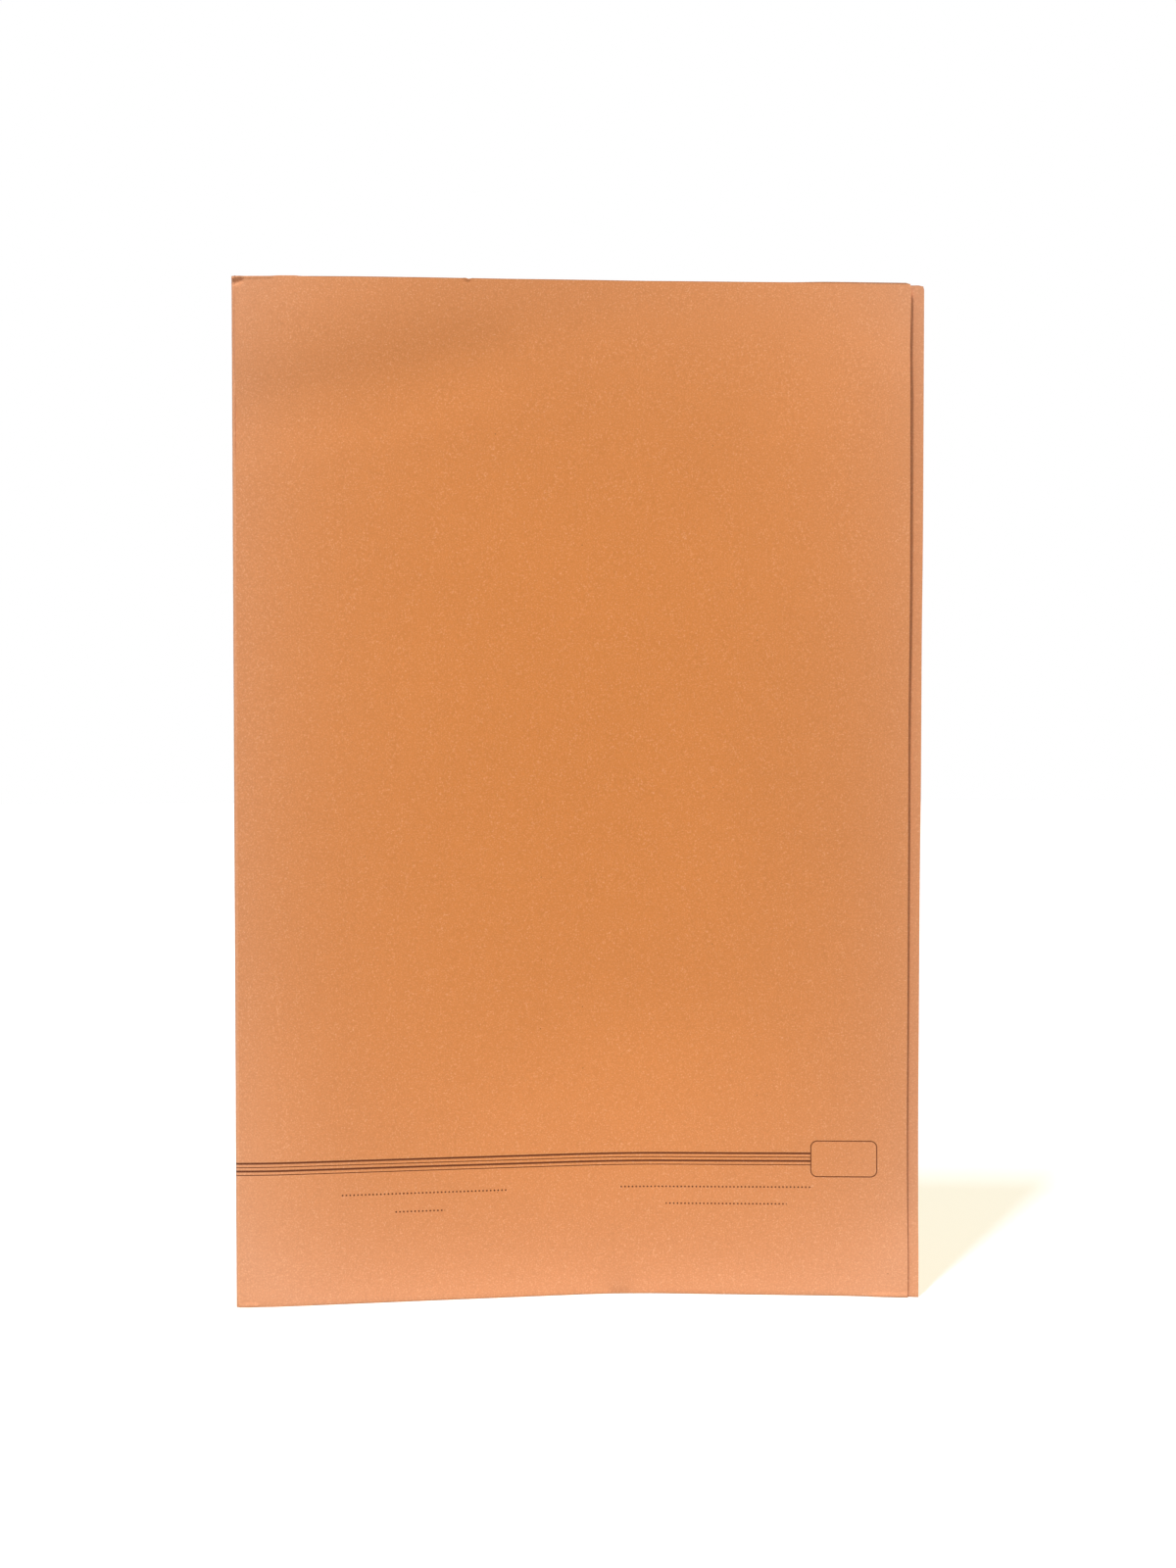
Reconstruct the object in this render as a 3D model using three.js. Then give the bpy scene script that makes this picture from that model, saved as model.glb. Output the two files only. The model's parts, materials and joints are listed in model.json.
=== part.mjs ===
// File folder in its square-cut form: one sheet of manilla board, scored and folded once, standing
// upright on its lower edges with the two leaves a little apart.
// Millimetres and degrees. Z runs up the fold, X runs along the foot of the front leaf from the
// fold to the free edges, and Y runs from the front leaf to the back leaf.
import * as THREE from 'three';

// The sheet, measured flat. Each width is taken from the outer edge of the fold to a free edge.
const leafHeight = 350;
const frontWidth = 232;
const backOverhang = 8; // the back leaf is cut this much wider than the front leaf
const boardThickness = 0.28;

// The fold, a half tube that joins the leaves along their left edges.
const foldRadius = 0.75; // from the hinge axis to the middle of the board
const foldClearance = 0.3; // running gap between the fold and each leaf

// The front leaf, from the fold outwards: a short bend behind the fold, a flat stretch, a softer
// bend the other way, and a flat stretch to the free edge. Both bends fade out towards the head.
const entryBendLength = 17.6;
const entryAngleAtFoot = 10.3;
const entryAngleAtHead = 2.8;
const middleBendStart = 115.7;
const middleBendLength = 31.5;
const middleAngleAtFoot = 13.2;
const middleAngleAtHead = 1.0;
const frontEdgeSetbackAtHead = 1.9; // how far the free edge leans back between foot and head

// A soft swell in the front leaf's head corner by the fold, where hands have bent it forwards: an
// oval, cut off by the head, that leans up towards the free edge.
const swellFromFold = 46;
const swellBelowHead = 10;
const swellLength = 116;
const swellWidth = 76;
const swellAngle = 25;
const swellDepth = 1.2;

// The back leaf is bowed away from the front leaf, which leaves the pocket for papers.
const bowBendStart = 81;
const bowBendLength = 64;
const pocketDepthAtFoot = 17.2;
const pocketDepthAtHead = 20.8;
const edgeGapAtFoot = 0.3; // between the leaves at their free edges
const edgeGapAtHead = 3.0;

// Facets.
const levelCount = 28;
const stepsPerBend = 8;
const stepsPerFlat = 9;
const stepsRoundFold = 12;

const manillaColour = 0xd98f5c;
const manillaRoughness = 0.92;

const degrees = THREE.MathUtils.degToRad;
const mix = THREE.MathUtils.lerp;

// One step along a leaf in plan: a chord of the arc that has this length and this turn.
function advance(place, length, turn) {
  const half = turn / 2;
  const chord = Math.abs(half) < 1e-9 ? length : (length * Math.sin(half)) / half;
  const aim = place.heading + half;
  return {
    x: place.x + chord * Math.cos(aim),
    y: place.y + chord * Math.sin(aim),
    heading: place.heading + turn,
  };
}

// A leaf's course from its fold edge to its free edge, through runs of a length and a turn. The
// fold axis is the origin, and side is -1 for the leaf in front of it and 1 for the one behind.
function course(side, runs) {
  const places = [{ x: foldClearance, y: side * foldRadius, heading: 0 }];
  for (const run of runs) {
    const steps = run.bends ? stepsPerBend : stepsPerFlat;
    for (let step = 0; step < steps; step += 1) {
      places.push(advance(places.at(-1), run.length / steps, run.turn / steps));
    }
  }
  return places;
}

// The course is turned about the fold axis until its free edge stands at the depth edgeY.
function aimed(places, edgeY) {
  const edge = places.at(-1);
  const swing = Math.asin(edgeY / Math.hypot(edge.x, edge.y)) - Math.atan2(edge.y, edge.x);
  return places.map((place) => ({
    x: place.x * Math.cos(swing) - place.y * Math.sin(swing),
    y: place.x * Math.sin(swing) + place.y * Math.cos(swing),
    heading: place.heading + swing,
  }));
}

// What lies on the fold's side of both leaves is the fold itself.
const foldOuterRadius = foldRadius + boardThickness / 2;
const frontLength = frontWidth - foldOuterRadius - foldClearance;
const backLength = frontWidth + backOverhang - foldOuterRadius - foldClearance;

function frontEdgeY(rise) {
  return -foldRadius + frontEdgeSetbackAtHead * rise;
}

function frontPlan(rise) {
  const entry = degrees(mix(entryAngleAtFoot, entryAngleAtHead, rise));
  const middle = degrees(mix(middleAngleAtFoot, middleAngleAtHead, rise));
  const beyondBend = frontLength - middleBendStart - middleBendLength;
  const places = course(-1, [
    { length: entryBendLength, turn: entry, bends: true },
    { length: middleBendStart - entryBendLength, turn: 0, bends: false },
    { length: middleBendLength, turn: -middle, bends: true },
    { length: beyondBend, turn: 0, bends: false },
  ]);
  return aimed(places, frontEdgeY(rise));
}

// How far the swell stands forward, at a distance from the fold and a height.
function swellAt(fromFold, height) {
  const across = fromFold - swellFromFold;
  const up = height - (leafHeight - swellBelowHead);
  const lean = degrees(swellAngle);
  const lengthShare = (across * Math.cos(lean) + up * Math.sin(lean)) / (swellLength / 2);
  const widthShare = (up * Math.cos(lean) - across * Math.sin(lean)) / (swellWidth / 2);
  const share = Math.min(lengthShare ** 2 + widthShare ** 2, 1);
  return swellDepth * (1 - share) ** 2;
}

function frontCourse(rise) {
  return frontPlan(rise).map((place) => ({
    ...place,
    y: place.y - swellAt(place.x, leafHeight * rise),
  }));
}

// The back leaf keeps its full width, so the deeper its bow, the nearer its free edge comes to
// the fold. The bow is measured from the straight line between the leaf's two edges.
function backCourse(rise) {
  const edgeY = frontEdgeY(rise) + boardThickness + mix(edgeGapAtFoot, edgeGapAtHead, rise);
  const frontCrown = Math.max(...frontPlan(rise).map((place) => place.y));
  const bowReach = bowBendStart + bowBendLength / 2; // from the leaf's fold edge to the crown
  const beyondBow = backLength - bowReach;
  const lineAtCrown = mix(foldRadius, edgeY, bowReach / backLength);
  const bow = frontCrown + mix(pocketDepthAtFoot, pocketDepthAtHead, rise) - lineAtCrown;
  const turn = Math.asin(bow / bowReach) + Math.asin(bow / beyondBow);
  const places = course(1, [
    { length: bowBendStart, turn: 0, bends: false },
    { length: bowBendLength, turn: -turn, bends: true },
    { length: beyondBow - bowBendLength / 2, turn: 0, bends: false },
  ]);
  return aimed(places, edgeY);
}

// The fold runs round its axis from the back leaf's heading to the front leaf's.
function foldCourse(rise) {
  const fromAngle = backCourse(rise)[0].heading + degrees(90);
  const toAngle = frontCourse(rise)[0].heading + degrees(270);
  const places = [];
  for (let step = 0; step <= stepsRoundFold; step += 1) {
    const angle = mix(fromAngle, toAngle, step / stepsRoundFold);
    places.push({
      x: foldRadius * Math.cos(angle),
      y: foldRadius * Math.sin(angle),
      heading: angle + degrees(90),
    });
  }
  return places;
}

// A board of one thickness, lofted from foot to head through the course of each level. Its two
// faces lie half a thickness to either side of the course, and strips close its four edges.
function boardGeometry(courseAt) {
  const positions = [];
  let placeCount = 0;
  for (let level = 0; level <= levelCount; level += 1) {
    const rise = level / levelCount;
    const places = courseAt(rise);
    placeCount = places.length;
    for (const place of places) {
      const acrossX = (-Math.sin(place.heading) * boardThickness) / 2;
      const acrossY = (Math.cos(place.heading) * boardThickness) / 2;
      const z = leafHeight * rise;
      positions.push(place.x - acrossX, place.y - acrossY, z);
      positions.push(place.x + acrossX, place.y + acrossY, z);
    }
  }
  const rightFace = (level, place) => 2 * (level * placeCount + place);
  const leftFace = (level, place) => rightFace(level, place) + 1;
  const triangles = [];
  const addQuad = (a, b, c, d) => triangles.push(a, b, c, a, c, d);
  for (let level = 0; level < levelCount; level += 1) {
    const above = level + 1;
    for (let place = 0; place < placeCount - 1; place += 1) {
      const next = place + 1;
      addQuad(
        rightFace(level, place),
        rightFace(level, next),
        rightFace(above, next),
        rightFace(above, place),
      );
      addQuad(
        leftFace(level, next),
        leftFace(level, place),
        leftFace(above, place),
        leftFace(above, next),
      );
    }
    const last = placeCount - 1;
    addQuad(leftFace(level, 0), rightFace(level, 0), rightFace(above, 0), leftFace(above, 0));
    addQuad(
      rightFace(level, last),
      leftFace(level, last),
      leftFace(above, last),
      rightFace(above, last),
    );
  }
  for (let place = 0; place < placeCount - 1; place += 1) {
    const next = place + 1;
    addQuad(leftFace(0, place), leftFace(0, next), rightFace(0, next), rightFace(0, place));
    addQuad(
      rightFace(levelCount, place),
      rightFace(levelCount, next),
      leftFace(levelCount, next),
      leftFace(levelCount, place),
    );
  }
  const geometry = new THREE.BufferGeometry();
  geometry.setAttribute('position', new THREE.Float32BufferAttribute(positions, 3));
  geometry.setIndex(triangles);
  geometry.computeVertexNormals();
  return geometry;
}

function board(name, courseAt) {
  const material = new THREE.MeshStandardMaterial({
    color: manillaColour,
    roughness: manillaRoughness,
    metalness: 0,
  });
  const mesh = new THREE.Mesh(boardGeometry(courseAt), material);
  mesh.name = name;
  return mesh;
}

const folder = new THREE.Group();
folder.add(board('front_leaf', frontCourse));
folder.add(board('back_leaf', backCourse));
folder.add(board('spine_fold', foldCourse));

// The origin is the middle of the folder's footprint, on the surface that it stands on.
const bounds = new THREE.Box3().setFromObject(folder);
const middle = bounds.getCenter(new THREE.Vector3());
folder.position.set(-middle.x, -middle.y, -bounds.min.z);

export default folder;
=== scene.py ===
# Foolscap file folder in manilla board, standing on its foot and nearly closed.
# The sheet is dressed as three pieces: the two leaves, and the scored fold between them.
import json
from math import atan2, hypot, pi, radians

import bpy
from mathutils import Matrix, Vector


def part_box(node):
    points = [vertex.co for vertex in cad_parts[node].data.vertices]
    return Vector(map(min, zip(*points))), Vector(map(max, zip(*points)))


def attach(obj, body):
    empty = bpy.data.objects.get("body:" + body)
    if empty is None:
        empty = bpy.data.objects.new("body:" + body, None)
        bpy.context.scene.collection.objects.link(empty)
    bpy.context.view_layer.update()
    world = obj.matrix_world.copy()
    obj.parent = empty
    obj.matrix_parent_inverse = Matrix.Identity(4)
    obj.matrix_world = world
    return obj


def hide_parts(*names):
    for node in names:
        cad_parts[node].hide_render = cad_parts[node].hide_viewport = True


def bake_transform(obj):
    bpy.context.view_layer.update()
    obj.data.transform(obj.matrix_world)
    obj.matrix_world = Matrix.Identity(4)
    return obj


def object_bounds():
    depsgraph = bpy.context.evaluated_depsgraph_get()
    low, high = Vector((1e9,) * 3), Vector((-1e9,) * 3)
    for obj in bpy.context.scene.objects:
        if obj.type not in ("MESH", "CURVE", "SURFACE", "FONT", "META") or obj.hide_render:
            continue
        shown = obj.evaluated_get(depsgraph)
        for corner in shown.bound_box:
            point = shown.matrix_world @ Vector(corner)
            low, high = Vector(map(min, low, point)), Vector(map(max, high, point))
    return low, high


mm = 0.001  # in Blender's metres
hair = 0.01 * mm  # places that are no further apart than this are the same place

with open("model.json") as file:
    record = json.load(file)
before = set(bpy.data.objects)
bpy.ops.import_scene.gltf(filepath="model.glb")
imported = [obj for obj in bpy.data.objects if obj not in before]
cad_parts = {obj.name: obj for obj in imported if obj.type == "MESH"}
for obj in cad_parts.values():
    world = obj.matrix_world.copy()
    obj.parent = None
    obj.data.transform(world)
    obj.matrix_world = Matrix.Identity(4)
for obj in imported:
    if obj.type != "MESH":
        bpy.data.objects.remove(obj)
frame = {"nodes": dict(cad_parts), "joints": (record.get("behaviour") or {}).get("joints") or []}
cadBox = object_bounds()
foldAxis = Vector(frame["joints"][0]["pos_m"])  # the hinge line, up the middle of the fold
footZ, headZ = cadBox[0].z, cadBox[1].z
print("frame loaded:", sorted(frame["nodes"]))


# Camera, at the photograph's viewing angle

cameraSettings = {
    "place": (-44.62 * mm, -815.37 * mm, 194.59 * mm),
    "yaw": -3.3017,  # degrees, turned to the right of straight on
    "tilt": -1.180,  # looking slightly down
    "roll": -0.116,
    "lens": 54.0,
    "sensor": 36,  # along the long side of a 1200 by 1600 picture
    "clip": (0.05, 50),  # metres
}


def addCamera(settings):
    bpy.ops.object.camera_add(location=settings["place"])
    camera = bpy.context.object
    camera.name = "camera"
    yaw = Matrix.Rotation(radians(settings["yaw"]), 3, "Z")
    tilt = Matrix.Rotation(radians(90 + settings["tilt"]), 3, "X")
    roll = Matrix.Rotation(radians(settings["roll"]), 3, "Z")
    camera.rotation_euler = (yaw @ tilt @ roll).to_euler()
    camera.data.sensor_width = settings["sensor"]
    camera.data.lens = settings["lens"]
    camera.data.clip_start, camera.data.clip_end = settings["clip"]
    bpy.context.scene.camera = camera


addCamera(cameraSettings)
print("camera ready")


# Helpers for modelling

def deselectAll():
    if bpy.context.object and bpy.context.object.mode != "OBJECT":
        bpy.ops.object.mode_set(mode="OBJECT")
    bpy.ops.object.select_all(action="DESELECT")


def makeActive(piece):
    deselectAll()
    piece.select_set(True)
    bpy.context.view_layer.objects.active = piece


def applyPlace(piece):
    makeActive(piece)
    bpy.ops.object.transform_apply(location=True, rotation=True, scale=True)


def applyModifiers(piece):
    makeActive(piece)
    for modifier in list(piece.modifiers):
        bpy.ops.object.modifier_apply(modifier=modifier.name)


def selectPart(piece, mode, isWanted):
    # Selects points, edges or faces by their middle, and leaves the piece in edit mode.
    makeActive(piece)
    bpy.ops.object.mode_set(mode="EDIT")
    bpy.ops.mesh.select_mode(type=mode)
    bpy.ops.mesh.select_all(action="DESELECT")
    bpy.ops.object.mode_set(mode="OBJECT")
    points = piece.data.vertices
    if mode == "VERT":
        for point in points:
            point.select = isWanted(point.co)
    elif mode == "EDGE":
        for edge in piece.data.edges:
            edge.select = isWanted(*[points[index].co for index in edge.vertices])
    else:
        for face in piece.data.polygons:
            face.select = isWanted(face.center)
    bpy.ops.object.mode_set(mode="EDIT")


def paintWeights(piece, groupName, weightAt):
    # A weight for each point, from its place, as a weight paint would give it.
    group = piece.vertex_groups.new(name=groupName)
    for point in piece.data.vertices:
        weight = weightAt(point.co)
        if weight > 0.001:
            group.add([point.index], min(weight, 1.0), "REPLACE")
    return group.name


# The leaves: a grid is drawn out row by row to the leaf's side edges, halved into fine rows,
# wrapped onto the frame's leaf and softened. Waves and dents of handled board come after that.

boardThickness = 0.28 * mm

leafGrid = {
    "standOff": 60 * mm,  # the grid starts this far outside the leaf
    "inset": 0.02 * mm,  # and stays this much inside its edges, so that each point meets it
    "columns": 8,
    "rows": 14,
    "halvings": 4,
    "softening": 10,  # passes that take the frame's facets away
}


def outerEdgesAt(node, side, height):
    # Where the outer face of the node begins and ends, on its level next to a height.
    points = [point.co for point in node.data.vertices]
    level = min((co.z for co in points), key=lambda z: abs(z - height))
    row = [co for co in points if abs(co.z - level) < hair]
    ends = []
    for outermost in (min(co.x for co in row), max(co.x for co in row)):
        near = [co for co in row if abs(co.x - outermost) < 2 * boardThickness]
        ends.append(max(near, key=lambda co: co.y * side).x)
    return ends


def addLeafGrid(name, node, side, settings):
    # side is -1 for the leaf in front, whose outer face looks along -Y, and 1 for the one behind.
    deselectAll()
    height = headZ - footZ - 2 * settings["inset"]
    rowStep = height / settings["rows"]
    bpy.ops.mesh.primitive_grid_add(
        x_subdivisions=settings["columns"],
        y_subdivisions=settings["rows"],
        size=height,
        location=(0, side * settings["standOff"], (footZ + headZ) / 2),
        rotation=(radians(90), 0, 0 if side < 0 else radians(180)),
    )
    sheet = bpy.context.object
    sheet.name = name
    applyPlace(sheet)
    for row in range(settings["rows"] + 1):
        rowZ = footZ + settings["inset"] + row * rowStep
        left, right = outerEdgesAt(node, side, rowZ)
        width = right - left - 2 * settings["inset"]
        selectPart(sheet, "VERT", lambda co: abs(co.z - rowZ) < rowStep / 2)
        bpy.ops.transform.resize(value=(width / height, 1, 1), center_override=(0, 0, rowZ))
        bpy.ops.transform.translate(value=((left + right) / 2, 0, 0))
    bpy.ops.object.mode_set(mode="OBJECT")
    finer = sheet.modifiers.new("rows", "SUBSURF")
    finer.subdivision_type = "SIMPLE"
    finer.levels = finer.render_levels = settings["halvings"]
    applyModifiers(sheet)
    return sheet


def borderPoints(sheet):
    # The points on the open border: those on an edge with only one face.
    faceCount = {}
    for face in sheet.data.polygons:
        for key in face.edge_keys:
            faceCount[key] = faceCount.get(key, 0) + 1
    return {index for key, count in faceCount.items() if count == 1 for index in key}


def wrapOnto(sheet, node, side, settings):
    border = borderPoints(sheet)
    inner = sheet.vertex_groups.new(name="inner")
    inner.add([p.index for p in sheet.data.vertices if p.index not in border], 1.0, "REPLACE")
    wrap = sheet.modifiers.new("wrap", "SHRINKWRAP")
    wrap.target = node
    wrap.wrap_method = "PROJECT"
    wrap.use_project_y = True
    wrap.use_positive_direction = side < 0
    wrap.use_negative_direction = side > 0
    soften = sheet.modifiers.new("soften", "SMOOTH")
    soften.use_x = soften.use_z = False
    soften.iterations = settings["softening"]
    soften.vertex_group = inner.name
    applyModifiers(sheet)
    strays = [p for p in sheet.data.vertices if abs(p.co.y) > settings["standOff"] / 2]
    print(sheet.name, "wrapped:", len(sheet.data.vertices), "points,", len(strays), "astray")


# Waves of the board: two cloud patterns, a broad one and one drawn out up the sheet, along the
# grain. They fade out at the fold, and most of the way at the foot, which rests on the floor, and
# at the free edges, where one leaf steadies the other.

waveSettings = {
    "broad": {"depth": 0.9 * mm, "size": 55 * mm, "stretch": 1.6},
    "grainwise": {"depth": 0.10 * mm, "size": 11 * mm, "stretch": 9},
    "fadeFromFold": 25 * mm,
    "fadeFromFoot": 60 * mm,
    "fadeFromFreeEdge": 40 * mm,
    "leastShare": 0.2,  # what is left of the waves at the foot and at the free edge
}


def addWaves(sheet, settings, shift):
    freeEdge = max(point.co.x for point in sheet.data.vertices)
    least = settings["leastShare"]

    def weightAt(co):
        fromFold = min((co.x - foldAxis.x) / settings["fadeFromFold"], 1)
        fromFoot = min((co.z - footZ) / settings["fadeFromFoot"], 1)
        fromFreeEdge = min((freeEdge - co.x) / settings["fadeFromFreeEdge"], 1)
        return fromFold * (least + (1 - least) * fromFoot) * (least + (1 - least) * fromFreeEdge)
    paintWeights(sheet, "waves", weightAt)
    for name in ("broad", "grainwise"):
        deselectAll()
        bpy.ops.object.empty_add(location=(shift, 0, 0))
        ruler = bpy.context.object
        ruler.scale = (1, 1, settings[name]["stretch"])
        bpy.context.view_layer.update()
        pattern = bpy.data.textures.new(name, "CLOUDS")
        pattern.noise_scale = settings[name]["size"]
        pattern.noise_depth = 1
        wave = sheet.modifiers.new(name, "DISPLACE")
        wave.direction = "Y"
        wave.texture = pattern
        wave.texture_coords = "OBJECT"
        wave.texture_coords_object = ruler
        wave.strength = settings[name]["depth"]
        wave.vertex_group = "waves"
        applyModifiers(sheet)
        bpy.data.objects.remove(ruler)


# Dents. Each lies round a short line, from and to in mm from the hinge line and up from the foot,
# and is pushed by so many mm along X, Y and Z. Minus Y is forwards.

cornerDents = {  # the head corner by the fold, knocked down to a lip with a hollow under it
    "lip": {"from": (-1.0, 349.3), "to": (2.0, 349.6), "reach": 1.4, "push": (0, -0.55, 0)},
    "underLip": {"from": (-1.0, 347.4), "to": (2.0, 348.5), "reach": 1.7, "push": (0, 0.50, 0)},
}
frontDents = {  # a head edge that is rolled, raised and nicked, a rubbed corner, and a curled foot
    "headRoll": {"from": (3.2, 349.6), "to": (12.5, 349.9), "reach": 1.0, "push": (0, -0.20, 0)},
    "headRise": {"from": (15.0, 350.0), "to": (20.0, 350.0), "reach": 3.0, "push": (0, 0, 0.20)},
    "headNick": {"from": (79.1, 350.2), "to": (79.2, 350.0), "reach": 1.2, "push": (0, 0, -0.28)},
    "nickLip": {"from": (78.2, 350.2), "to": (78.9, 349.9), "reach": 1.5, "push": (0, -0.40, 0)},
    "headCorner": {
        "from": (231.4, 350.4), "to": (231.5, 350.5), "reach": 2.4, "push": (-0.20, 0.2, -0.40),
    },
    "footLip": {"from": (0.4, 0.4), "to": (6.0, 0.6), "reach": 1.3, "push": (0, -0.35, 0)},
    "footCurl": {"from": (218.0, 0.6), "to": (230.0, 0.9), "reach": 1.1, "push": (0, -0.30, 0)},
}
backDents = {  # a rubbed corner
    "headCorner": {
        "from": (236.5, 350.4), "to": (236.6, 350.5), "reach": 2.4, "push": (-0.30, 0, -0.40),
    },
}
dentCuts = {"reach": 4.5 * mm, "cuts": 5}  # extra cuts of the cells that are this near a dent

# Soft bends, laid out in the same way. The front leaf is bellied across its head corner by the
# fold, with a hollow beneath, and its free corner at the head has been bent back. Both leaves
# curl a little forwards at the foot of their free edges. No edge is cut quite straight.
frontBends = {
    "belly": {"from": (0, 331), "to": (115, 357), "reach": 26, "push": (0, -0.75, 0)},
    "hollow": {"from": (0, 300), "to": (85, 320), "reach": 20, "push": (0, 0.55, 0)},
    "cornerBend": {"from": (231, 350), "to": (231.1, 342), "reach": 28, "push": (0, 1.1, 0.1)},
    "cornerTrim": {"from": (231, 350), "to": (231.1, 342), "reach": 15, "push": (0.42, 0, 0)},
    "footCorner": {"from": (231.0, 0.0), "to": (231.1, 8.0), "reach": 24, "push": (0, -1.3, 0)},
    "headTrim": {"from": (203, 350.5), "to": (231, 350.6), "reach": 14, "push": (0, 0, 0.27)},
    "edgeTrim": {"from": (231.5, 70.0), "to": (231.6, 190.0), "reach": 60, "push": (-0.42, 0, 0)},
}
backBends = {
    "footCorner": {"from": (231.0, 0.0), "to": (231.1, 8.0), "reach": 24, "push": (0, -1.45, 0)},
    "edgeTrimHead": {
        "from": (236.5, 270.0), "to": (236.6, 350.0), "reach": 45, "push": (0.24, 0, 0),
    },
    "edgeTrimFoot": {
        "from": (236.5, 70.0), "to": (236.6, 136.0), "reach": 45, "push": (-0.20, 0, 0),
    },
}


def distanceToLine(co, settings):
    # In mm, from a point to the dent's line, in the plane of the leaf.
    x, z = (co.x - foldAxis.x) / mm, (co.z - footZ) / mm
    (x0, z0), (x1, z1) = settings["from"], settings["to"]
    along = ((x - x0) * (x1 - x0) + (z - z0) * (z1 - z0)) / ((x1 - x0) ** 2 + (z1 - z0) ** 2)
    along = min(max(along, 0), 1)
    return hypot(x - x0 - along * (x1 - x0), z - z0 - along * (z1 - z0))


def cutFiner(sheet, dents, settings):
    def isNear(co):
        return any(distanceToLine(co, dent) * mm < settings["reach"] for dent in dents.values())
    selectPart(sheet, "FACE", isNear)
    bpy.ops.mesh.subdivide(number_cuts=settings["cuts"])
    bpy.ops.object.mode_set(mode="OBJECT")


def addDents(sheet, dents, isDented=lambda co: True):
    for name, dent in dents.items():
        def weightAt(co):
            share = min(distanceToLine(co, dent) / dent["reach"], 1)
            return (1 - share * share) ** 2 if isDented(co) else 0
        paintWeights(sheet, name, weightAt)
        for direction, amount in zip("XYZ", dent["push"]):
            if amount:
                push = sheet.modifiers.new(name + direction, "DISPLACE")
                push.direction = direction
                push.mid_level = 0
                push.strength = amount * mm
                push.vertex_group = name
    applyModifiers(sheet)


def buildLeaf(name, node, side, dents, bends, waveShift):
    sheet = addLeafGrid(name, node, side, leafGrid)
    cutFiner(sheet, dents, dentCuts)
    wrapOnto(sheet, node, side, leafGrid)
    addWaves(sheet, waveSettings, waveShift)
    addDents(sheet, {**bends, **dents})
    return sheet


frontLeaf = buildLeaf(
    "frontLeaf", frame["nodes"]["front_leaf"], -1,
    dents={**cornerDents, **frontDents}, bends=frontBends, waveShift=0,
)
backLeaf = buildLeaf(
    "backLeaf", frame["nodes"]["back_leaf"], 1, dents=backDents, bends=backBends, waveShift=0.4,
)
print("leaves ready")


# The fold: half a tube round the hinge line, drawn out on both sides to meet the leaves.

foldSettings = {
    "radius": 0.89 * mm,
    "segments": 40,  # round the whole tube
    "rowCuts": 69,
    "endCuts": 5,  # extra cuts of the rows at the foot and the head
    "endReach": 7 * mm,
    "wave": {"depth": 0.10 * mm, "size": 9 * mm},
}


def addHalfTube(settings):
    deselectAll()
    bpy.ops.mesh.primitive_cylinder_add(
        vertices=settings["segments"],
        radius=settings["radius"],
        depth=headZ - footZ - 2 * leafGrid["inset"],
        end_fill_type="NOTHING",
        location=(foldAxis.x, foldAxis.y, (footZ + headZ) / 2),
    )
    tube = bpy.context.object
    tube.name = "spineFold"
    applyPlace(tube)
    selectPart(tube, "VERT", lambda co: co.x > foldAxis.x + hair)
    bpy.ops.mesh.delete(type="VERT")
    return tube


def drawOutTo(tube, side, leafX):
    # Extrudes the tube's open edge on one side as far as the leaf.
    def isOpenEdge(a, b):
        onSide = min(a.y * side, b.y * side) > foldAxis.y * side + 0.5 * foldSettings["radius"]
        return onSide and min(a.x, b.x) > foldAxis.x - hair
    selectPart(tube, "EDGE", isOpenEdge)
    bpy.ops.mesh.extrude_region_move(
        TRANSFORM_OT_translate={"value": (leafX - foldAxis.x, 0, 0)},
    )
    bpy.ops.object.mode_set(mode="OBJECT")


def runsUp(a, b):
    return abs(a.z - b.z) > hair


def cutRows(tube, settings):
    selectPart(tube, "EDGE", runsUp)
    bpy.ops.mesh.subdivide(number_cuts=settings["rowCuts"])

    def isNearEnd(a, b):
        height = (a.z + b.z) / 2
        return runsUp(a, b) and min(height - footZ, headZ - height) < settings["endReach"]
    selectPart(tube, "EDGE", isNearEnd)
    bpy.ops.mesh.subdivide(number_cuts=settings["endCuts"])
    bpy.ops.object.mode_set(mode="OBJECT")


def meetLeaf(tube, leaf, side, leafX):
    def weightAt(co):
        isEnd = co.x > (foldAxis.x + leafX) / 2 and co.y * side > foldAxis.y * side
        return 1.0 if isEnd else 0.0
    name = paintWeights(tube, "meets " + leaf.name, weightAt)
    seat = tube.modifiers.new(name, "SHRINKWRAP")
    seat.target = leaf
    seat.wrap_method = "NEAREST_SURFACEPOINT"
    seat.vertex_group = name
    applyModifiers(tube)


def waveCrest(tube, settings):
    # The crest of the fold isn't quite even.
    paintWeights(tube, "crest", lambda co: min((foldAxis.x - co.x) / foldSettings["radius"], 1))
    pattern = bpy.data.textures.new("crest", "CLOUDS")
    pattern.noise_scale = settings["size"]
    wave = tube.modifiers.new("crest", "DISPLACE")
    wave.direction = "X"
    wave.texture = pattern
    wave.texture_coords = "LOCAL"
    wave.strength = settings["depth"]
    wave.vertex_group = "crest"
    applyModifiers(tube)


def buildFold(settings):
    tube = addHalfTube(settings)
    leafX = {}
    for side, leaf in ((-1, frontLeaf), (1, backLeaf)):
        leafX[side] = min(point.co.x for point in leaf.data.vertices)
        drawOutTo(tube, side, leafX[side])
    cutRows(tube, settings)
    for side, leaf in ((-1, frontLeaf), (1, backLeaf)):
        meetLeaf(tube, leaf, side, leafX[side])
    waveCrest(tube, settings["wave"])
    addDents(tube, cornerDents, isDented=lambda co: co.y < foldAxis.y)
    return tube


spineFold = buildFold(foldSettings)
print("fold ready:", len(spineFold.data.vertices), "points")


# Finish

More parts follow.
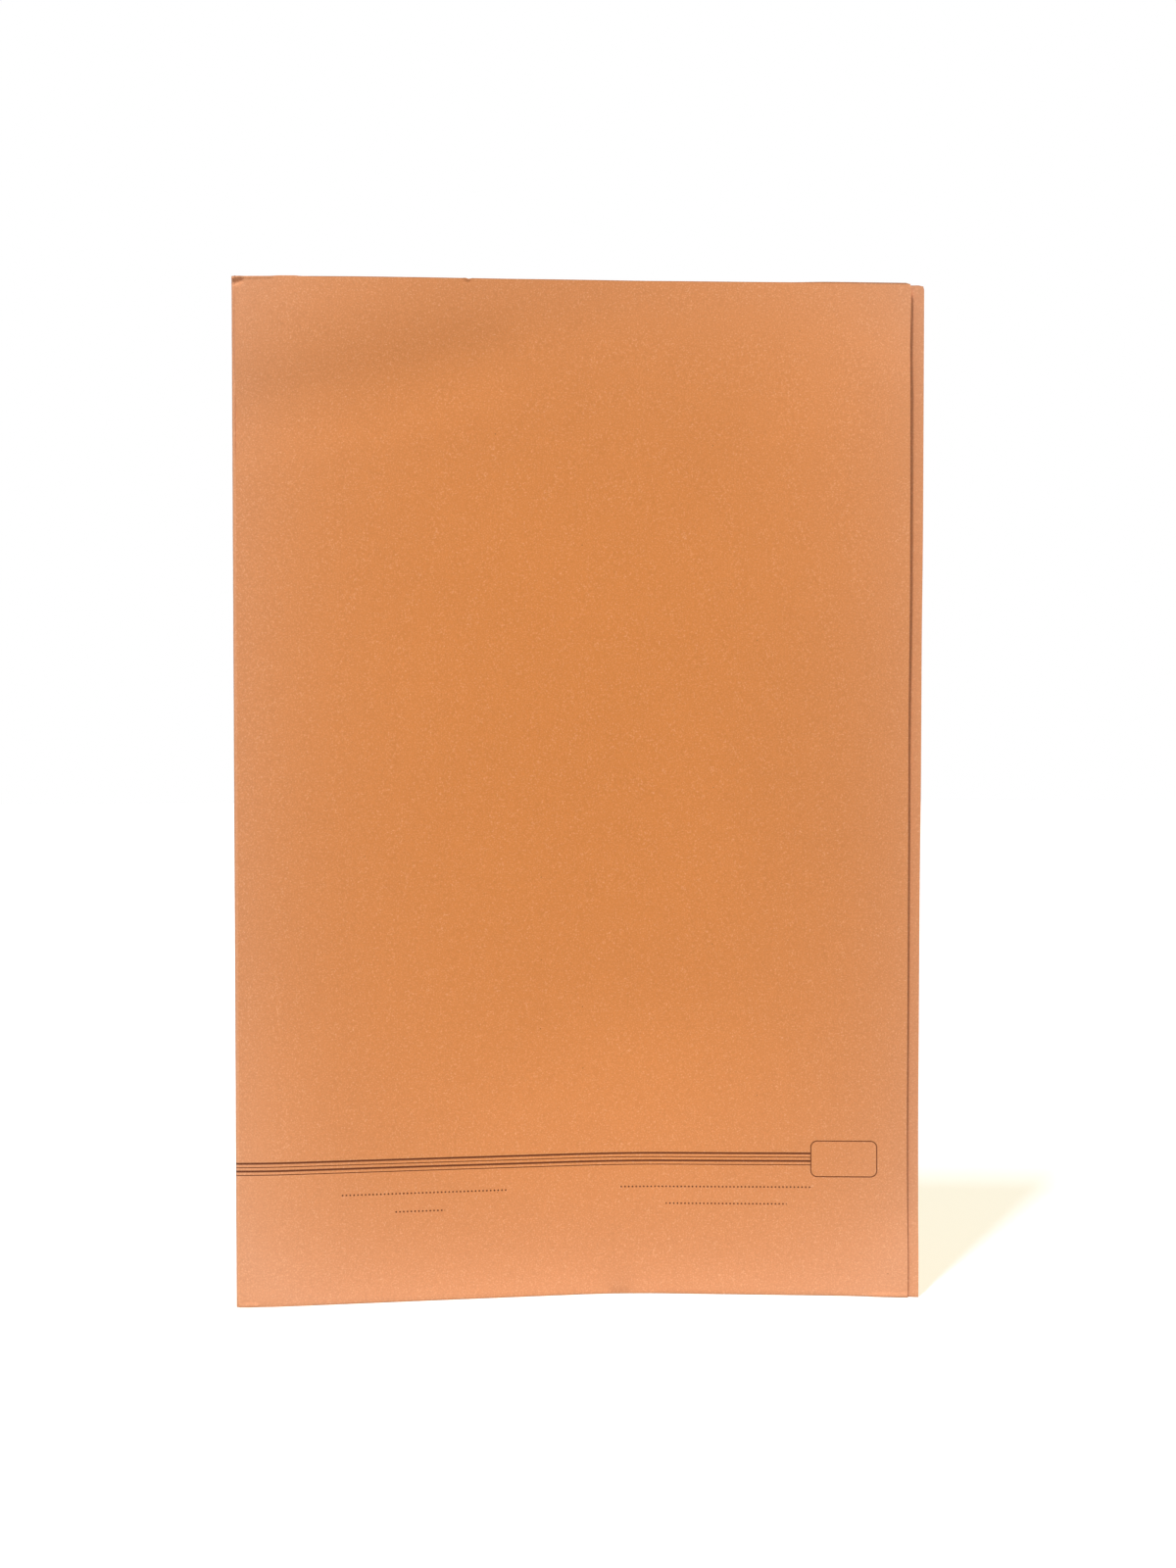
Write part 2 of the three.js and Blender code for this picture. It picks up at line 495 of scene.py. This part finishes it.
def srgb(hexCode):
    # sRGB hex to the linear colour that a shader takes.
    channels = [int(hexCode[i:i + 2], 16) / 255 for i in (1, 3, 5)]
    linear = [c / 12.92 if c <= 0.04045 else ((c + 0.055) / 1.055) ** 2.4 for c in channels]
    return (*linear, 1)


def addNode(tree, kind, settings=None, links=None):
    # Adds a node, sets its properties and sockets, and links other nodes' outputs into it.
    node = tree.nodes.new(kind)
    for key, value in (settings or {}).items():
        if isinstance(key, str) and hasattr(node, key):
            setattr(node, key, value)
        else:
            node.inputs[key].default_value = value
    for key, source in (links or {}).items():
        tree.links.new(source, node.inputs[key])
    return node


# Manilla board: wood pulp dyed in the mass and left uncoated, pressed between felts. It is matt,
# with a fine fibre mottle and a few flecks of bark. Its colour is painted paler towards the edges,
# as painted light.

boardFinish = {
    "heart": "#DC8844",
    "pale": "#DE9B71",
    "fleck": "#8E5A34",
    "undyed": "#FBE3C4",  # single fibres that took less dye
    "roughness": 0.82,
    "gloss": 0.25,
    "fleece": 0.50 * mm,  # single fibres, drawn coarser than the real 0.03 mm so that they show
    "fibre": 0.9 * mm,
    "mottle": 6 * mm,
    "cloud": 70 * mm,
    "fleeceDepth": 0.23,
    "fibreDepth": 0.15,
    "mottleDepth": 0.05,
    "cloudDepth": 0.05,
    "undyedFrom": 0.56,  # where the fleece is stronger than this, its fibres are undyed
    "undyedShare": 0.75,
    "bump": 0.05 * mm,
    "mottleBump": 0.6,  # against the fibre's, which is 1
    "fleckSpacing": 15 * mm,
    "fleckSize": 0.30 * mm,
    "fleckShare": 0.06,
    # How much painted light each edge gives, making the colour paler towards it, and over what
    # distance.
    # At the foot it is the painted bounce and reflection of the pale floor.
    "left": {"amount": 0.54, "reach": 30 * mm},
    "right": {"amount": 0.48, "reach": 30 * mm},
    "head": {"amount": 0.37, "reach": 35 * mm},
    "foot": {"amount": 0.75, "reach": 50 * mm},
    # Soft patches of painted shade and painted light, each with its middle in mm, how far it
    # reaches across and up, and how much lighter it is.
    "paintedShadeAndLightPatches": [
        ((90, 179), (62, 90), -0.050),
        ((87, 336), (75, 60), 0.045),
        ((10, 66), (100, 55), 0.078),
        ((-115, 55), (40, 75), 0.060),
        ((-46, 340), (60, 30), -0.030),
        ((-5, 0), (100, 22), 0.040),
    ],
    # The shears press a thin dark line along the head and the foot, except next to the fold.
    "pressedLine": {"width": 0.45 * mm, "darkening": 0.30, "fromFold": 25 * mm},
}

# The print: four rules across the front, an empty box at their end, and dotted lines to write on.
# Places are in mm, across from the middle of the folder and up from its foot. A rule has a height
# and a width, and a dotted line has two ends and a height.

printSettings = {
    "ink": "#55240F",
    "density": 0.90,
    "lean": 0.0021,  # the print isn't quite square to the foot, and rises by this much per mm
    "rules": [(49.35, 0.68), (48.02, 0.30), (46.70, 0.68), (45.37, 0.30)],
    "rulesEnd": 79.0,
    "box": {"middle": (90.4, 47.5), "size": (22.6, 12.4), "corner": 2.2, "line": 0.36},
    "dotted": [(-83.3, -26.3, 37.6), (-65.2, -47.6, 31.3), (13.0, 79.7, 37.6), (29.0, 70.8, 31.7)],
    "dotSpacing": 1.3,
    "dotSize": 0.62,
}


def maths(tree, operation, first, second=None):
    # One step of arithmetic on outputs or plain numbers.
    links, settings = {}, {"operation": operation}
    for socket, value in enumerate((first, second)):
        if value is None:
            continue
        if isinstance(value, (int, float)):
            settings[socket] = value
        else:
            links[socket] = value
    return addNode(tree, "ShaderNodeMath", settings, links).outputs[0]


def paintedEdgeLight(tree, x, z, box, finish):
    # How much painted light pales the colour, as the sum of what each edge gives.
    total = 0.0
    sides = (
        ("left", x, box[0].x, -1),
        ("right", x, box[1].x, 1),
        ("head", z, box[1].z, 1),
        ("foot", z, box[0].z, -1),
    )
    for name, place, edge, towards in sides:
        distance = maths(tree, "SUBTRACT", place, edge)
        power = maths(tree, "MULTIPLY", distance, towards / finish[name]["reach"])
        edgeLight = maths(tree, "EXPONENT", power)
        total = maths(tree, "ADD", maths(tree, "MULTIPLY", edgeLight, finish[name]["amount"]), total)
    return total


def noiseOf(tree, place, size, detail):
    node = addNode(
        tree, "ShaderNodeTexNoise",
        {"Scale": 1 / size, "Detail": detail, "Roughness": 0.55},
        {"Vector": place},
    )
    return node.outputs["Fac"]


def fleckMask(tree, x, z, finish):
    flat = addNode(tree, "ShaderNodeCombineXYZ", {}, {"X": x, "Y": z})
    cells = addNode(
        tree, "ShaderNodeTexVoronoi",
        {"voronoi_dimensions": "2D", "Scale": 1 / finish["fleckSpacing"]},
        {"Vector": flat.outputs[0]},
    )
    radius = finish["fleckSize"] / 2 / finish["fleckSpacing"]
    inside = maths(tree, "LESS_THAN", cells.outputs["Distance"], radius)
    pick = addNode(tree, "ShaderNodeSeparateColor", {}, {0: cells.outputs["Color"]})
    chosen = maths(tree, "LESS_THAN", pick.outputs[0], finish["fleckShare"])
    return maths(tree, "MULTIPLY", inside, chosen)


def mixColours(tree, share, first, second):
    # The colour sockets of a Mix node are 6 and 7, and its colour comes out of socket 2.
    settings, links = {"data_type": "RGBA"}, {0: share}
    for socket, value in ((6, first), (7, second)):
        if isinstance(value, tuple):
            settings[socket] = value
        else:
            links[socket] = value
    return addNode(tree, "ShaderNodeMix", settings, links).outputs[2]


def printMask(tree, x, z, settings):
    # 1 on the ink and 0 off it, with x and z in metres.
    across = maths(tree, "DIVIDE", x, mm)
    up = maths(tree, "DIVIDE", maths(tree, "SUBTRACT", z, footZ), mm)
    up = maths(tree, "SUBTRACT", up, maths(tree, "MULTIPLY", across, settings["lean"]))
    rules = 0.0
    for height, width in settings["rules"]:
        off = maths(tree, "ABSOLUTE", maths(tree, "SUBTRACT", up, height))
        rules = maths(tree, "ADD", maths(tree, "LESS_THAN", off, width / 2), rules)
    mask = maths(tree, "MULTIPLY", rules, maths(tree, "LESS_THAN", across, settings["rulesEnd"]))
    mask = maths(tree, "MAXIMUM", mask, boxMask(tree, across, up, settings["box"]))
    for fromX, toX, height in settings["dotted"]:
        line = dottedMask(tree, across, up, (fromX, toX, height), settings)
        mask = maths(tree, "MAXIMUM", mask, line)
    return mask


def boxMask(tree, across, up, box):
    # The outline of a box with round corners, from the distance to its edge.
    over = []
    for place, middle, size in ((across, box["middle"][0], box["size"][0]),
                                (up, box["middle"][1], box["size"][1])):
        off = maths(tree, "ABSOLUTE", maths(tree, "SUBTRACT", place, middle))
        over.append(maths(tree, "SUBTRACT", off, size / 2 - box["corner"]))
    outside = [maths(tree, "MAXIMUM", value, 0.0) for value in over]
    squares = [maths(tree, "MULTIPLY", value, value) for value in outside]
    corner = maths(tree, "SQRT", maths(tree, "ADD", *squares))
    inside = maths(tree, "MINIMUM", maths(tree, "MAXIMUM", *over), 0.0)
    distance = maths(tree, "SUBTRACT", maths(tree, "ADD", corner, inside), box["corner"])
    return maths(tree, "LESS_THAN", maths(tree, "ABSOLUTE", distance), box["line"] / 2)


def dottedMask(tree, across, up, line, settings):
    fromX, toX, height = line
    spacing = settings["dotSpacing"]
    turns = maths(tree, "FRACT", maths(tree, "DIVIDE", across, spacing))
    offX = maths(tree, "MULTIPLY", maths(tree, "SUBTRACT", turns, 0.5), spacing)
    offZ = maths(tree, "SUBTRACT", up, height)
    squares = [maths(tree, "MULTIPLY", off, off) for off in (offX, offZ)]
    square = maths(tree, "ADD", *squares)
    dot = maths(tree, "LESS_THAN", square, (settings["dotSize"] / 2) ** 2)
    past = maths(tree, "GREATER_THAN", across, fromX)
    before = maths(tree, "LESS_THAN", across, toX)
    return maths(tree, "MULTIPLY", dot, maths(tree, "MULTIPLY", past, before))


def pressedLine(tree, x, z, box, settings):
    # Fades from 1 at the head and the foot to 0 at the line's width.
    fromHead = maths(tree, "SUBTRACT", box[1].z, z)
    fromFoot = maths(tree, "SUBTRACT", z, box[0].z)
    share = maths(tree, "DIVIDE", maths(tree, "MINIMUM", fromHead, fromFoot), settings["width"])
    line = maths(tree, "MAXIMUM", maths(tree, "SUBTRACT", 1.0, share), 0.0)
    isPast = maths(tree, "GREATER_THAN", x, foldAxis.x + settings["fromFold"])
    return maths(tree, "MULTIPLY", line, isPast)


def paintedShadeAndLightTone(tree, x, z, paintedShadeAndLightPatches):
    # The sum of the soft patches of painted shade and painted light, in shares of the board's own
    # brightness.
    total = 0.0
    for middle, reach, lighter in paintedShadeAndLightPatches:
        squares = []
        for place, at, size in ((x, middle[0], reach[0]), (z, middle[1], reach[1])):
            share = maths(tree, "SUBTRACT", place, at * mm)
            share = maths(tree, "DIVIDE", share, size * mm)
            squares.append(maths(tree, "MULTIPLY", share, share))
        inside = maths(tree, "SUBTRACT", 1.0, maths(tree, "ADD", *squares))
        inside = maths(tree, "MAXIMUM", inside, 0.0)
        soft = maths(tree, "MULTIPLY", inside, inside)
        total = maths(tree, "ADD", maths(tree, "MULTIPLY", soft, lighter), total)
    return total


def manillaBoard(name, box, finish, printed=None, paleShift=0.0, contrast=1.0, lighter=0.0,
                 printBehind=1.0):
    # The print reaches back as far as Y = printBehind, in metres.
    material = bpy.data.materials.new(name)
    material.use_nodes = True
    tree = material.node_tree
    tree.nodes.clear()
    place = addNode(tree, "ShaderNodeTexCoord").outputs["Object"]
    apart = addNode(tree, "ShaderNodeSeparateXYZ", {}, {0: place})
    x, z = apart.outputs["X"], apart.outputs["Z"]

    # The share of the pale colour: painted light towards the edges, plus paleShift, which pales the
    # whole face evenly.
    share = maths(tree, "ADD", paintedEdgeLight(tree, x, z, box, finish), paleShift)
    share = maths(tree, "MINIMUM", share, 1.0)
    colour = mixColours(tree, share, srgb(finish["heart"]), srgb(finish["pale"]))
    colour = mixColours(tree, fleckMask(tree, x, z, finish), colour, srgb(finish["fleck"]))

    fleece = noiseOf(tree, place, finish["fleece"], 1)
    fibre = noiseOf(tree, place, finish["fibre"], 3)
    mottle = noiseOf(tree, place, finish["mottle"], 2)
    cloud = noiseOf(tree, place, finish["cloud"], 1)
    undyed = maths(tree, "MAXIMUM", maths(tree, "SUBTRACT", fleece, finish["undyedFrom"]), 0.0)
    undyed = maths(tree, "MULTIPLY", undyed, finish["undyedShare"] * contrast)
    colour = mixColours(tree, undyed, colour, srgb(finish["undyed"]))
    line = pressedLine(tree, x, z, box, finish["pressedLine"])
    tone = maths(tree, "MULTIPLY", line, -finish["pressedLine"]["darkening"])
    tone = maths(tree, "ADD", tone, 1.0 + lighter)
    # Soft patches of painted shade and painted light, on the printed faces only, lighter near the
    # foot.
    if printed:
        tone = maths(tree, "ADD", tone, paintedShadeAndLightTone(tree, x, z, finish["paintedShadeAndLightPatches"]))
    patterns = {"fleece": fleece, "fibre": fibre, "mottle": mottle, "cloud": cloud}
    for key, pattern in patterns.items():
        centred = maths(tree, "SUBTRACT", pattern, 0.5)
        step = maths(tree, "MULTIPLY", centred, finish[key + "Depth"] * contrast)
        tone = maths(tree, "ADD", step, tone)
    toned = addNode(
        tree, "ShaderNodeVectorMath", {"operation": "SCALE"}, {0: colour, "Scale": tone},
    )
    colour = toned.outputs[0]
    if printed:
        ink = maths(tree, "MULTIPLY", printMask(tree, x, z, printed), printed["density"])
        isFront = maths(tree, "LESS_THAN", apart.outputs["Y"], printBehind)
        ink = maths(tree, "MULTIPLY", ink, isFront)
        colour = mixColours(tree, ink, colour, srgb(printed["ink"]))

    mottleHeight = maths(tree, "MULTIPLY", mottle, finish["mottleBump"])
    relief = addNode(
        tree, "ShaderNodeBump",
        {"Strength": 1.0, "Distance": finish["bump"]},
        {"Height": maths(tree, "ADD", fibre, mottleHeight)},
    )
    shader = addNode(
        tree, "ShaderNodeBsdfPrincipled",
        {"Roughness": finish["roughness"], "Specular IOR Level": finish["gloss"]},
        {"Base Color": colour, "Normal": relief.outputs[0]},
    )
    addNode(tree, "ShaderNodeOutputMaterial", {}, {"Surface": shader.outputs[0]})
    return material


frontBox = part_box("front_leaf")
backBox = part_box("back_leaf")
printedFace = manillaBoard("manillaBoardPrinted", frontBox, boardFinish, printed=printSettings)
plainFace = manillaBoard("manillaBoardPlain", frontBox, boardFinish)
backFace = manillaBoard("manillaBoardBack", backBox, boardFinish, paleShift=0.22)
cutEdge = manillaBoard("manillaBoardCutEdge", frontBox, boardFinish, paleShift=0.35, contrast=1.6)
foldFace = manillaBoard(
    "manillaBoardScored", frontBox, boardFinish, printed=printSettings, paleShift=0.3, lighter=0.07,
    printBehind=foldAxis.y,  # the fold is printed on its front half only
)
foldInside = manillaBoard("manillaBoardFoldInside", frontBox, boardFinish)
print("finishes ready")


# The board's thickness, and its place on the frame

wallSettings = {
    "edgeBreak": 0.03 * mm,  # the shears leave the cut edge this soft
    "edgeAngle": 60,  # degrees: a sharper turn than this is a cut edge
    "smoothAngle": 35,
}


def thicken(sheet, faces):
    # faces are the finishes of the outer side, the inner side and the cut edges.
    for material in faces:
        sheet.data.materials.append(material)
    wall = sheet.modifiers.new("board", "SOLIDIFY")
    wall.thickness = boardThickness
    wall.offset = -1
    wall.material_offset = 1
    wall.material_offset_rim = 2
    soften = sheet.modifiers.new("cut edges", "BEVEL")
    soften.width = wallSettings["edgeBreak"]
    soften.segments = 1
    soften.angle_limit = radians(wallSettings["edgeAngle"])
    applyModifiers(sheet)
    sheet.vertex_groups.clear()
    makeActive(sheet)
    bpy.ops.object.shade_smooth_by_angle(angle=radians(wallSettings["smoothAngle"]))


thicken(frontLeaf, (printedFace, plainFace, cutEdge))
thicken(backLeaf, (backFace, backFace, cutEdge))
thicken(spineFold, (foldFace, foldInside, cutEdge))

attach(frontLeaf, "front")
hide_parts("front_leaf")
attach(backLeaf, "back")
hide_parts("back_leaf")
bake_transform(spineFold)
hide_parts("spine_fold")
print("boards thickened and placed")


# Floor and light

lightSettings = {
    # Three far lamps. Each travels along a direction in the folder's frame, and looks so many
    # degrees wide and tall from the folder. The strength is in watts per square metre there.
    "distance": 20,  # metres
    "key": {"travel": (115, 226, -350), "strength": 2.40, "spread": (4, 13)},
    "fill": {"travel": (-60, 70, -40), "strength": 1.01, "spread": (25, 25)},
    "back": {"travel": (25, -95, -15), "strength": 1.9, "spread": (25, 12)},
    "skyStrength": 0.276,
    # Two low strips along the foot of the front leaf, which lift it as a pale table does. Each
    # follows one flat stretch of the leaf, from and to in mm.
    "strips": {
        "lines": [((-150, -17.3), (9, -0.3)), ((17, -0.3), (150, -17.0))],
        "gap": 0.6 * mm,
        "rise": 0.3 * mm,  # above the foot
        "depth": 45 * mm,
        "radiance": 0.45,
    },
}

floorSettings = {
    "size": 12,  # metres
    "below": 0.02 * mm,  # clear of the cut edges that stand on it
    "bounce": "#A0A0A0",  # the colour that it throws back onto the board
    # What the camera sees: the shade is what the floor loses where the key light is kept off, and
    # the glow is what stays there.
    "shade": (0.55, 0.60, 0.88, 1),
    "glow": (0.70, 0.627, 0.323, 1),
}


def seenDirectly(tree):
    # 1 for what the camera sees, straight or in a reflection, and 0 for light that bounces on.
    rays = addNode(tree, "ShaderNodeLightPath").outputs
    straight = maths(tree, "MAXIMUM", rays["Is Camera Ray"], rays["Is Glossy Ray"])
    return maths(tree, "MAXIMUM", straight, rays["Is Transmission Ray"])


def addFloor(settings):
    deselectAll()
    level = footZ - settings["below"]
    bpy.ops.mesh.primitive_plane_add(size=settings["size"], location=(0, 0, level))
    floor = bpy.context.object
    floor.name = "floor"
    material = bpy.data.materials.new("paleFloor")
    material.use_nodes = True
    tree = material.node_tree
    tree.nodes.clear()
    plain = addNode(tree, "ShaderNodeBsdfDiffuse", {"Color": srgb(settings["bounce"])})
    shade = addNode(tree, "ShaderNodeBsdfDiffuse", {"Color": settings["shade"]})
    glow = addNode(tree, "ShaderNodeEmission", {"Color": settings["glow"]})
    shown = addNode(tree, "ShaderNodeAddShader", {}, {0: shade.outputs[0], 1: glow.outputs[0]})
    mixed = addNode(
        tree, "ShaderNodeMixShader", {},
        {0: seenDirectly(tree), 1: plain.outputs[0], 2: shown.outputs[0]},
    )
    addNode(tree, "ShaderNodeOutputMaterial", {}, {"Surface": mixed.outputs[0]})
    floor.data.materials.append(material)


def addWorld(strength):
    world = bpy.data.worlds.new("studio")
    bpy.context.scene.world = world
    world.use_nodes = True
    tree = world.node_tree
    tree.nodes.clear()
    white = (1, 1, 1, 1)
    sky = addNode(tree, "ShaderNodeBackground", {"Color": white, "Strength": strength})
    backdrop = addNode(tree, "ShaderNodeBackground", {"Color": white, "Strength": 1.0})
    mixed = addNode(
        tree, "ShaderNodeMixShader", {},
        {0: seenDirectly(tree), 1: sky.outputs[0], 2: backdrop.outputs[0]},
    )
    addNode(tree, "ShaderNodeOutputWorld", {}, {"Surface": mixed.outputs[0]})


def addFarLamp(name, settings, distance):
    deselectAll()
    travel = Vector(settings["travel"]).normalized()
    bpy.ops.object.light_add(type="AREA", location=-distance * travel)
    lamp = bpy.context.object
    lamp.name = name
    lamp.rotation_euler = travel.to_track_quat("-Z", "Y").to_euler()
    lamp.data.shape = "RECTANGLE"
    lamp.data.size = distance * radians(settings["spread"][0])
    lamp.data.size_y = distance * radians(settings["spread"][1])
    lamp.data.energy = settings["strength"] * pi * distance ** 2
    lamp.visible_camera = False


def addStrip(line, settings):
    deselectAll()
    start, end = [Vector((x * mm, y * mm, footZ + settings["rise"])) for x, y in line]
    along = (end - start).normalized()
    forwards = Vector((along.y, -along.x, 0))
    middle = (start + end) / 2 + forwards * (settings["gap"] + settings["depth"] / 2)
    bpy.ops.object.light_add(type="AREA", location=middle)
    strip = bpy.context.object
    strip.name = "lowStrip"
    strip.rotation_euler = (pi, 0, atan2(along.y, along.x))
    strip.data.shape = "RECTANGLE"
    strip.data.size = (end - start).length
    strip.data.size_y = settings["depth"]
    strip.data.energy = settings["radiance"] * pi * strip.data.size * strip.data.size_y
    strip.visible_camera = False
    strip.visible_glossy = False


def addLights(settings):
    addFarLamp("keyLight", settings["key"], settings["distance"])
    addFarLamp("fillLight", settings["fill"], settings["distance"])
    addFarLamp("backLight", settings["back"], settings["distance"])
    for line in settings["strips"]["lines"]:
        addStrip(line, settings["strips"])


addFloor(floorSettings)
addWorld(lightSettings["skyStrength"])
addLights(lightSettings)
bpy.context.scene.view_settings.view_transform = "Standard"
print("floor and lights ready")
